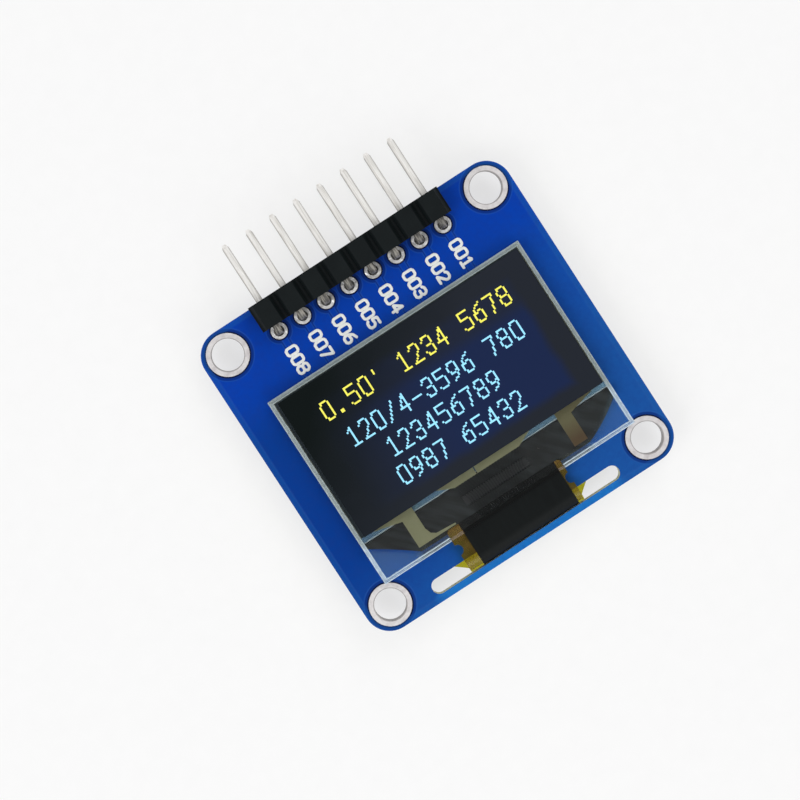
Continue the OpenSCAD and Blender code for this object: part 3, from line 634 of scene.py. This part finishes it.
def dullSheet(name, colours, grain, depth, roughness):
    # a dull sheet or skin, with a grain of the given width and depth in millimetres
    material, tree, where = blank(name)
    cloud, colour = mottled(tree, where, 1 / grain, 4.0, colours)
    skin = addNode(tree, "Bump", {"Height": cloud, "Distance": depth * mm})
    sheet = addNode(tree, "BsdfPrincipled", {"Base Color": colour, "Roughness": roughness,
                                             "Normal": skin})
    return close(material, tree, sheet)


def ledgeMetal():
    # sputtered molybdenum-aluminium film seen through the glass: flat olive, a little browner
    # at the lower end of the right bar; the tracks between are dark against the pad
    material, tree, where = blank("ledgeMetal")
    low, high = boxOf("ledge_film")
    axes = addNode(tree, "SeparateXYZ", (where,))
    cloud, colour = mottled(tree, where, 1.2, 3.0, panel["metalColours"])
    right = addNode(tree, "MapRange", {"Value": axes.outputs["X"], "From Min": 6.0, "From Max": 8.0})
    down = addNode(tree, "MapRange", {"Value": axes.outputs["Y"], "From Min": high[1] - 1.2,
                                      "From Max": low[1] + 1.2})
    brown = addNode(tree, "Math", (right, down), operation="MULTIPLY")
    trackEnd = high[1] - panel["trackLength"]
    tracks = addNode(tree, "MapRange", {"Value": axes.outputs["Y"], "From Min": trackEnd + 0.08,
                                        "From Max": trackEnd})
    fromMiddle = distance(tree, axes.outputs["X"], (low[0] + high[0]) / 2)
    between = addNode(tree, "Math", (fromMiddle, panel["tracksHalf"]), operation="LESS_THAN")
    tracks = addNode(tree, "Math", (tracks, between), operation="MULTIPLY")
    for share, name in ((right, "rightColour"), (brown, "brownColour"), (tracks, "trackColour")):
        colour = addNode(tree, "Mix", {"Factor": share, "A": colour, "B": panel[name]},
                         data_type="RGBA")
    skin = addNode(tree, "Bump", {"Height": cloud, "Distance": 0.005 * mm})
    film = addNode(tree, "BsdfPrincipled", {"Base Color": colour, "Roughness": 0.4,
                                            "Specular IOR Level": 0.3, "Normal": skin})
    return close(material, tree, film)


def blackPad():
    # light-blocking PET tape: charcoal, with faint slanting lines of painted reflection and a few bright
    # specks
    material, tree, where = blank("blackPad")
    turn = (0, 0, np.radians(-47))
    turned = addNode(tree, "Mapping", {"Vector": where, "Rotation": turn, "Scale": (6, 0.9, 1)},
                     vector_type="TEXTURE")
    streaks = addNode(tree, "TexNoise", {"Vector": turned, "Scale": 1.6, "Detail": 4.0})
    lines = addNode(tree, "MapRange", {"Value": streaks, "From Min": 0.42, "From Max": 0.66})
    dark, pale = panel["padAndReflectionColours"]
    colour = addNode(tree, "Mix", {"Factor": lines, "A": dark, "B": pale}, data_type="RGBA")
    scattered = addNode(tree, "TexVoronoi", {"Vector": where, "Scale": 0.4})
    speck = addNode(tree, "Math", (scattered, 0.03), operation="LESS_THAN")
    colour = addNode(tree, "Mix", {"Factor": speck, "A": colour, "B": panel["speckColour"]},
                     data_type="RGBA")
    skin = addNode(tree, "Bump", {"Height": streaks, "Distance": 0.02 * mm})
    tape = addNode(tree, "BsdfPrincipled", {"Base Color": colour, "Roughness": 0.55,
                                            "Specular IOR Level": 0.3, "Normal": skin})
    return close(material, tree, tape)


# the flex cable
flex = {
    "ambers": ("#6a5026", "#80633a"),
    "copperColour": "#a8581c",  # of the tracks, seen through the film
    "printColour": "#050808",  # of the black print under the glass
    "coverColours": ("#020405", "#0c1212"),  # of the cover film and the rubs on it
    "through": "#f0ee70",  # what one face lets through
    "clearness": 0.7,  # share of clear film between the tracks
    "trackPitch": 0.62,  # mm, as the soldered contacts
    "neckHalf": 6.1,  # mm from the middle line to the side of the neck
    "tracksHalf": 9.25,  # mm, half the width that the tracks take up on the tail
    "tracksFrom": -12.6,  # mm, where the tracks come out from under the cover film
    "tailTop": 0.2,  # mm, the tail lies below this height
    "neckBottom": 2.0,  # mm, and the printed neck above this one
}


def polyimide():
    # polyimide film with copper tracks inside: clear amber, gold over white and olive over blue
    material, tree, where = blank("polyimide")
    axes = addNode(tree, "SeparateXYZ", (where,))
    cloud = addNode(tree, "TexNoise", {"Vector": where, "Scale": 1.2, "Detail": 4.0})
    mottle = addNode(tree, "MapRange", {"Value": cloud, "From Min": 0.35, "From Max": 0.65})
    dark, pale = flex["ambers"]
    film = addNode(tree, "Mix", {"Factor": mottle, "A": dark, "B": pale}, data_type="RGBA")
    away = addNode(tree, "Math", (axes.outputs["X"], flex["trackPitch"]), operation="PINGPONG")
    away = distance(tree, away, flex["trackPitch"] / 2)
    tracks = addNode(tree, "MapRange", {"Value": away, "From Min": 0.15, "From Max": 0.18},
                     interpolation_type="SMOOTHSTEP")
    behind = addNode(tree, "Math", (axes.outputs["Z"], flex["tailTop"]), operation="LESS_THAN")
    fromMiddle = addNode(tree, "Math", (axes.outputs["X"],), operation="ABSOLUTE")
    within = addNode(tree, "Math", (fromMiddle, flex["tracksHalf"]), operation="LESS_THAN")
    tail = addNode(tree, "Math", (axes.outputs["Y"], flex["tracksFrom"]), operation="GREATER_THAN")
    copper = behind
    for share in (within, tail, tracks):
        copper = addNode(tree, "Math", (copper, share), operation="MULTIPLY")
    colour = addNode(tree, "Mix", {"Factor": copper, "A": film, "B": flex["copperColour"]},
                     data_type="RGBA")

    # the black print goes on under the glass, over the cover film's width
    onTop = addNode(tree, "Math", (axes.outputs["Z"], flex["neckBottom"]), operation="GREATER_THAN")
    printed = addNode(tree, "Math", (coverBand(tree, where), onTop), operation="MULTIPLY")
    colour = addNode(tree, "Mix", {"Factor": printed, "A": colour, "B": flex["printColour"]},
                     data_type="RGBA")
    opaque = addNode(tree, "Math", (copper, printed), operation="MAXIMUM")
    clearness = addNode(tree, "MapRange", {"Value": opaque, "To Min": flex["clearness"], "To Max": 0.0})
    height = addNode(tree, "Math", (cloud, 0.2, copper), operation="MULTIPLY_ADD")
    skin = addNode(tree, "Bump", {"Height": height, "Distance": 0.02 * mm})
    solid = addNode(tree, "BsdfPrincipled", {"Base Color": colour, "Roughness": 0.22, "IOR": 1.7,
                                             "Normal": skin})
    clearFilm = addNode(tree, "BsdfTransparent", {"Color": flex["through"]})
    return close(material, tree, addNode(tree, "MixShader", (clearness, solid, clearFilm)))


def coverInk():
    # black polyimide coverlay: satin, with faint lengthwise rubs
    material, tree, where = blank("coverInk")
    stretched = addNode(tree, "Mapping", {"Vector": where, "Scale": (1.0, 0.18, 0.5)})
    rubs, colour = mottled(tree, stretched, 2.4, 5.0, flex["coverColours"])
    gloss = addNode(tree, "MapRange", {"Value": rubs, "To Min": 0.45, "To Max": 0.65})
    skin = addNode(tree, "Bump", {"Height": rubs, "Distance": 0.015 * mm})
    film = addNode(tree, "BsdfPrincipled", {"Base Color": colour, "Roughness": gloss,
                                            "Specular IOR Level": 0.15, "Normal": skin})
    return close(material, tree, film)


# the chip parts on the back
chipParts = {
    "capLength": 0.32,  # mm, of the plated cap at each end
    "capColours": ("#c9c7c4", "#e6e4e1"),
}


def chipPart(name, node, colours):
    # sintered ceramic chip with a plated tin cap at each end: dull body, soft metal caps
    material, tree, where = blank(name)
    low, high = boxOf(node)
    axes = addNode(tree, "SeparateXYZ", (where,))
    off = distance(tree, axes.outputs["Y"], (low[1] + high[1]) / 2)
    bodyHalf = (high[1] - low[1]) / 2 - chipParts["capLength"]
    caps = addNode(tree, "Math", (off, bodyHalf), operation="GREATER_THAN")
    grain, ceramic = mottled(tree, where, 4.0, 4.0, colours)
    skin = addNode(tree, "Bump", {"Height": grain, "Distance": 0.01 * mm})
    body = addNode(tree, "BsdfPrincipled", {"Base Color": ceramic, "Roughness": 0.55, "Normal": skin})
    dull, pale = chipParts["capColours"]
    tin = addNode(tree, "Mix", {"Factor": grain, "A": dull, "B": pale}, data_type="RGBA")
    skin = addNode(tree, "Bump", {"Height": grain, "Distance": 0.02 * mm})
    ends = addNode(tree, "BsdfPrincipled", {"Base Color": tin, "Metallic": 1.0, "Roughness": 0.35,
                                            "Normal": skin})
    return close(material, tree, addNode(tree, "MixShader", (caps, body, ends)))


# the finish of each carried part, by the name of its node
finishes = {
    "pcb": solderMask(),
    "mounting_ring": tinnedCopper("tinnedRings", "#e4e1e1", "#c9c4c5", 0.55, 0.6, shadedHoleRim),
    "header_lands": tinnedCopper("tinnedPads", "#ffffff", "#f4f2f0", 0.3, 0.45, solderedLand,
                                 depth=0.2),
    "header_pin": tinnedCopper("tinnedPins", "#f4f2ef", "#cfccc6", 0.5, 0.5, shadedPin, (6, 0.3, 6)),
    "header_solder": tinnedCopper("solderJoint", "#d7d6d4", "#a9a8a6", 0.25, 1.0),
    "flex_joints": tinnedCopper("solderFillet", "#d7d6d4", "#a9a8a6", 0.25, 1.0),
    "header_body": mouldedNylon(),
    "foam_tape": dullSheet("foamTape", ("#e9e8e2", "#d6d5cd"), 0.2, 0.04, 0.9),
    "drying_sheet": dullSheet("dryingPaper", ("#f2f1ec", "#dedcd3"), 0.1, 0.02, 0.95),
    "pixel_layer": dullSheet("lightLayers", ("#17141f", "#241d35"), 0.17, 0.004, 0.2),
    "driver_chip": dullSheet("groundSilicon", ("#0b0e0f", "#13181a"), 0.3, 0.006, 0.5),
    "front_glass": groundGlass("groundGlass", ledgeReflectionAndResin, frontEdges),
    "cap_glass": groundGlass("capGlass", capMist),
    "edge_seal": sealResin(),
    "polariser": polariserFilm(),
    "ledge_film": ledgeMetal(),
    "ledge_pad": blackPad(),
    "flex_cable": polyimide(),
    "flex_cover": coverInk(),
    "capacitor": chipPart("capacitorCeramic", "capacitor_1", ("#a58763", "#b99a73")),
    "resistor": chipPart("resistorGlaze", "resistor_1", ("#17181a", "#26282a")),
}
finishes["chip_joints"] = finishes["flex_joints"]
rounded = smoothRounds()
for name, node in nodes.items():
    kind = name.rstrip("0123456789").rstrip("_")
    node.data.materials.clear()
    node.data.materials.append(finishes[kind])
    node.modifiers.new("rounded", "NODES").node_group = rounded
print("finishes set")


# the strokes of the plain digits, in a cell 0.65 wide and 1 high
strokes = {
    "0": [[(0.15, 0), (0, 0.15), (0, 0.85), (0.15, 1), (0.5, 1), (0.65, 0.85), (0.65, 0.15), (0.5, 0),
           (0.15, 0)]],
    "1": [[(0.12, 0.82), (0.34, 1), (0.34, 0)], [(0.1, 0), (0.58, 0)]],
    "2": [[(0, 0.82), (0.15, 1), (0.5, 1), (0.65, 0.85), (0.65, 0.62), (0, 0), (0.65, 0)]],
    "3": [[(0, 0.85), (0.15, 1), (0.5, 1), (0.65, 0.85), (0.65, 0.65), (0.5, 0.52), (0.22, 0.52)],
          [(0.5, 0.52), (0.65, 0.38), (0.65, 0.15), (0.5, 0), (0.15, 0), (0, 0.15)]],
    "4": [[(0.5, 0), (0.5, 1), (0, 0.3), (0.65, 0.3)]],
    "5": [[(0.6, 1), (0.05, 1), (0, 0.55), (0.45, 0.6), (0.65, 0.42), (0.65, 0.15), (0.5, 0), (0.15, 0),
           (0, 0.12)]],
    "6": [[(0.55, 1), (0.2, 0.85), (0, 0.5), (0, 0.15), (0.15, 0), (0.5, 0), (0.65, 0.15), (0.65, 0.4),
           (0.5, 0.55), (0.05, 0.5)]],
    "7": [[(0, 1), (0.65, 1), (0.22, 0)]],
    "8": [[(0.15, 0.53), (0, 0.68), (0, 0.85), (0.15, 1), (0.5, 1), (0.65, 0.85), (0.65, 0.68),
           (0.5, 0.53), (0.15, 0.53), (0, 0.38), (0, 0.15), (0.15, 0), (0.5, 0), (0.65, 0.15),
           (0.65, 0.38), (0.5, 0.53)]],
    "9": [[(0.1, 0), (0.45, 0.15), (0.65, 0.5), (0.65, 0.85), (0.5, 1), (0.15, 1), (0, 0.85), (0, 0.6),
           (0.15, 0.45), (0.6, 0.5)]],
    ".": [[(0.1, 0), (0.2, 0), (0.2, 0.08), (0.1, 0.08)]],
    "-": [[(0, 0.45), (0.65, 0.45)]],
    "/": [[(0.05, 0), (0.6, 1)]],
    "'": [[(0.25, 1), (0.25, 0.8)]],
}


def along(points, step):
    # the polyline's points at even steps: C(s), linear between its corners
    corners = np.array(points, float)
    lengths = np.hypot(*np.diff(corners, axis=0).T)
    at = np.concatenate([[0], np.cumsum(lengths)])
    s = np.linspace(0, at[-1], max(2, int(np.ceil(at[-1] / step)) + 1))
    return np.stack([np.interp(s, at, corners[:, 0]), np.interp(s, at, corners[:, 1])], 1)


# the lit cells of the screen
screen = {
    "rows": [  # text, first column, first line
        ("0.50' 1234 5678", 5, -1),
        ("120/4-3596 780", 9, 16),
        ("123456789", 24, 32),
        ("0987 65432", 21, 48),
    ],
    "columns": 128,
    "lines": 64,
    "zoneLines": 16,  # the upper lines glow yellow
    "zoneGap": 0.34,  # mm between the two zones
    "pitch": 0.17,  # mm from cell to cell
    "cell": 0.168,  # mm, side of a cell
    "height": 0.012,  # mm that a cell stands proud of the film
    "yellow": "#efe95e",
    "blue": "#98e0ff",
    "offColour": "#101018",  # of a cell without its glow
    "glow": 1.2,
    "letter": (8.2, 10),  # cells, scale of a digit's strokes
    "advance": 8,  # cells from digit to digit
}


def cellsOf(text, column, line):
    # the cells of a text's strokes, one cell thick: each straight piece goes from round(C1) to
    # round(C2), with one cell for each step of its longer side
    cells = []
    for place, character in enumerate(text):
        for stroke in strokes.get(character, []):
            corners = np.round(np.array(stroke) * screen["letter"])
            left = column + screen["advance"] * place + 1
            corners = np.stack([left + corners[:, 0], line + 12 - corners[:, 1]], 1)
            for here, there in zip(corners[:-1], corners[1:]):
                steps = int(np.abs(there - here).max())
                share = np.linspace(0, 1, steps + 1)[:, None]
                cells.append(np.floor(here + (there - here) * share + 0.5))
    return np.unique(np.concatenate(cells), axis=0)


def litCells(name, cells, material):
    # a low box over each cell: P = centre + (sx, sy, sz) * half sizes, with s = -1 or 1
    low, high = [np.array(corner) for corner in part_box("pixel_layer")]
    middle = (low + high) / 2
    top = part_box("polariser")[1][2]
    pitch = screen["pitch"] * mm
    x = middle[0] + (cells[:, 0] + 0.5 - screen["columns"] / 2) * pitch
    gap = np.where(cells[:, 1] < screen["zoneLines"], 0.5, -0.5) * screen["zoneGap"] * mm
    y = middle[1] - (cells[:, 1] + 0.5 - screen["lines"] / 2) * pitch + gap
    corner = np.array([(a, b, c) for c in (-1, 1) for b in (-1, 1) for a in (-1, 1)])
    half = np.array([screen["cell"] / 2, screen["cell"] / 2, screen["height"]]) * mm
    centres = np.stack([x, y, np.full(len(x), top)], 1)
    points = (centres[:, None] + corner[None] * half).reshape(-1, 3)
    box = np.array([(0, 2, 3, 1), (4, 5, 7, 6), (0, 1, 5, 4), (1, 3, 7, 5), (3, 2, 6, 7), (2, 0, 4, 6)])
    faces = (np.arange(len(x))[:, None, None] * 8 + box[None]).reshape(-1, 4)
    return putMesh(name, points, faces, material)


def glowing(name, colour, strength):
    # organic light-emitting layer: an even glow, a touch weaker or stronger from cell to cell
    material, tree, where = blank(name)
    uneven = addNode(tree, "TexNoise", {"Vector": where, "Scale": 1 / screen["pitch"], "Detail": 0.0})
    level = addNode(tree, "MapRange", {"Value": uneven, "To Min": strength * 0.85,
                                       "To Max": strength * 1.15})
    layer = addNode(tree, "BsdfPrincipled", {"Base Color": screen["offColour"], "Roughness": 0.12,
                                             "Emission Color": colour, "Emission Strength": level})
    return close(material, tree, layer)


cells = np.concatenate([cellsOf(*row) for row in screen["rows"]])
upper = cells[:, 1] < screen["zoneLines"]
litCells("yellow_pixels", cells[upper], glowing("yellowGlow", screen["yellow"], screen["glow"]))
litCells("blue_pixels", cells[~upper], glowing("blueGlow", screen["blue"], screen["glow"]))
print("screen lit,", len(cells), "cells")


# the pin numbers printed on the board
ink = {
    "height": 1.06,  # mm, of a digit
    "advance": 0.95,  # from digit to digit
    "width": 0.28,  # of a stroke
    "thick": 0.02,
    "fromRow": 1.82,  # from the pins' row to the first digit
    "colours": ("#f2f3ee", "#dfe2e0"),
}


def inkStroke(points, z, width):
    # a low bead of ink: P(u, a) = C(u) + w(u) cos(a) N(u) + t(u) sin(a) Z, with C the stroke's
    # line, N its normal, and w and t rounding off to nothing within w of both ends
    line = along(points, width / 6)
    inner = line.copy()
    for _ in range(2):
        inner[1:-1] = (inner[:-2] + 2 * inner[1:-1] + inner[2:]) / 4
    ends = [inner[0] - inner[1], inner[-1] - inner[-2]]
    caps = np.sin(np.linspace(0, np.pi / 2, 5))[1:, None] * width / 2
    first, last = [end / np.hypot(*end) for end in ends]
    line = np.concatenate([inner[0] + first * caps[::-1], inner, inner[-1] + last * caps])
    share = np.ones(len(line))
    taper = np.cos(np.linspace(0, np.pi / 2, 5))[1:]
    taper[-1] = 0.02
    share[:4] = taper[::-1]
    share[-4:] = taper
    run = np.gradient(line, axis=0)
    run /= np.hypot(*run.T)[:, None]
    normal = np.stack([-run[:, 1], run[:, 0]], 1)
    a = np.linspace(0, 2 * np.pi, 8, endpoint=False)
    across = share[:, None] * np.cos(a) * width / 2
    points = np.empty((len(line), 8, 3))
    points[..., :2] = line[:, None] + across[..., None] * normal[:, None]
    points[..., 2] = z + share[:, None] * np.sin(a) * ink["thick"]
    ring = np.arange(len(line) - 1)[:, None] * 8
    here = np.arange(8)
    there = np.roll(here, -1)
    sides = np.stack([ring + here, ring + there, ring + 8 + there, ring + 8 + here], -1).reshape(-1, 4)
    lids = np.stack([here[::-1], (len(line) - 1) * 8 + here])
    return points.reshape(-1, 3), (sides, lids)


def inkPiece(name, beads, material):
    # joins beads of ink, given in millimetres, into one piece
    count = 0
    points = []
    faces = []
    for beadPoints, beadFaces in beads:
        points.append(beadPoints)
        for block in beadFaces:
            faces += (block + count).tolist()
        count += len(beadPoints)
    piece = putMesh(name, np.concatenate(points) * mm, faces, material)
    piece.data.polygons.foreach_set("use_smooth", np.ones(len(faces), bool))
    return piece


boardTop = boxOf("pcb")[1][2]
printed = dullSheet("epoxyInk", ink["colours"], 0.3, 0.004, 0.5)
beads = []
for number in range(1, 9):
    low, high = boxOf(f"header_pin_{9 - number}")
    start = np.array([(low[0] + high[0]) / 2, low[1] + (high[0] - low[0]) / 2 - ink["fromRow"]])
    for place, character in enumerate(f"{number:03d}"):
        for stroke in strokes[character]:
            # turned a quarter to the right: (x, y) -> (y, -x)
            shape = np.array(stroke) * ink["height"]
            across = shape[:, 1] - ink["height"] / 2
            down = -shape[:, 0] - place * ink["advance"]
            line = start + np.stack([across, down], 1)
            beads.append(inkStroke(line, boardTop, ink["width"]))
inkPiece("pin_numbers", beads, printed)
print("pin numbers printed")


# floor, light and camera
studio = {
    "floorColours": ("#f6f6f6", "#f9f9f9"),
    "floorSize": 3.0,
    "floorGlow": 0.7,  # share of the floor's colour that shows without its shadow
    "tentStrength": 0.64,  # white cloth all round
    "holeStrength": 0.05,  # and a dark opening above, which the camera looks through
    "lamps": [  # place, size, power
        ((-0.5, -0.1, 0.5), 0.5, 2.2),
        ((0.45, 0.35, 0.5), 0.5, 1.4),
        ((0.1, -0.6, 0.45), 0.5, 1.4),
    ],
    "cameraPlace": (-0.0062, 0.0164, 0.3022),
    "cameraTurn": (-2.04, -2.03, -32.97),
    "lens": 148.5,
}


def paperFloor():
    # seamless white paper: matt, with a faint fibre
    material, tree, where = blank("paperFloor")
    fibre, colour = mottled(tree, where, 0.6, 4.0, studio["floorColours"])
    skin = addNode(tree, "Bump", {"Height": fibre, "Distance": 0.01 * mm})
    paper = addNode(tree, "BsdfPrincipled", {"Base Color": colour, "Roughness": 0.9,
                                             "Specular IOR Level": 0.2, "Normal": skin})
    rays = addNode(tree, "LightPath").outputs
    seen = addNode(tree, "Math", (rays["Is Camera Ray"], rays["Is Glossy Ray"]), operation="MAXIMUM")
    seen = addNode(tree, "Math", (seen, rays["Is Transmission Ray"]), operation="MAXIMUM")
    seen = addNode(tree, "Math", (seen, studio["floorGlow"]), operation="MULTIPLY")
    glow = addNode(tree, "Emission", {"Color": colour, "Strength": 1.0})
    return close(material, tree, addNode(tree, "MixShader", (seen, paper, glow)))


half = studio["floorSize"] / 2
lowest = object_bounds()[0][2]
floorMesh = bpy.data.meshes.new("floor")
corners = [(x * half, y * half, lowest) for x, y in ((-1, -1), (1, -1), (1, 1), (-1, 1))]
floorMesh.from_pydata(corners, [], [(0, 1, 2, 3)])
floorMesh.materials.append(paperFloor())
floor = bpy.data.objects.new("floor", floorMesh)
bpy.context.scene.collection.objects.link(floor)

world = bpy.data.worlds.new("studio")
world.use_nodes = True
bpy.context.scene.world = world
tree = world.node_tree
tree.nodes.clear()
upwards = addNode(tree, "SeparateXYZ", (addNode(tree, "TexCoord").outputs["Generated"],)).outputs["Z"]
tent = addNode(tree, "MapRange", {"Value": upwards, "From Min": 0.86, "From Max": 0.96,
                                  "To Min": studio["tentStrength"], "To Max": studio["holeStrength"]},
               interpolation_type="SMOOTHSTEP")
cameraRay = addNode(tree, "LightPath").outputs["Is Camera Ray"]
strength = addNode(tree, "Mix", {"Factor": cameraRay, "A": tent, "B": 1.0})
sky = addNode(tree, "Background", {"Color": (1, 1, 1, 1), "Strength": strength})
addNode(tree, "OutputWorld", {"Surface": sky})

for place, size, power in studio["lamps"]:
    lamp = bpy.data.lights.new("softbox", "AREA")
    lamp.size = size
    lamp.energy = power
    holder = bpy.data.objects.new("softbox", lamp)
    holder.location = place
    holder.rotation_euler = (-holder.location).to_track_quat("-Z", "Y").to_euler()
    bpy.context.scene.collection.objects.link(holder)

camera = bpy.data.cameras.new("camera")
camera.lens = studio["lens"]
camera.clip_start = 0.01
camera.clip_end = 20
eye = bpy.data.objects.new("camera", camera)
eye.location = studio["cameraPlace"]
eye.rotation_euler = np.radians(studio["cameraTurn"])
bpy.context.scene.collection.objects.link(eye)
bpy.context.scene.camera = eye
bpy.context.scene.view_settings.view_transform = "Standard"

print("studio ready")
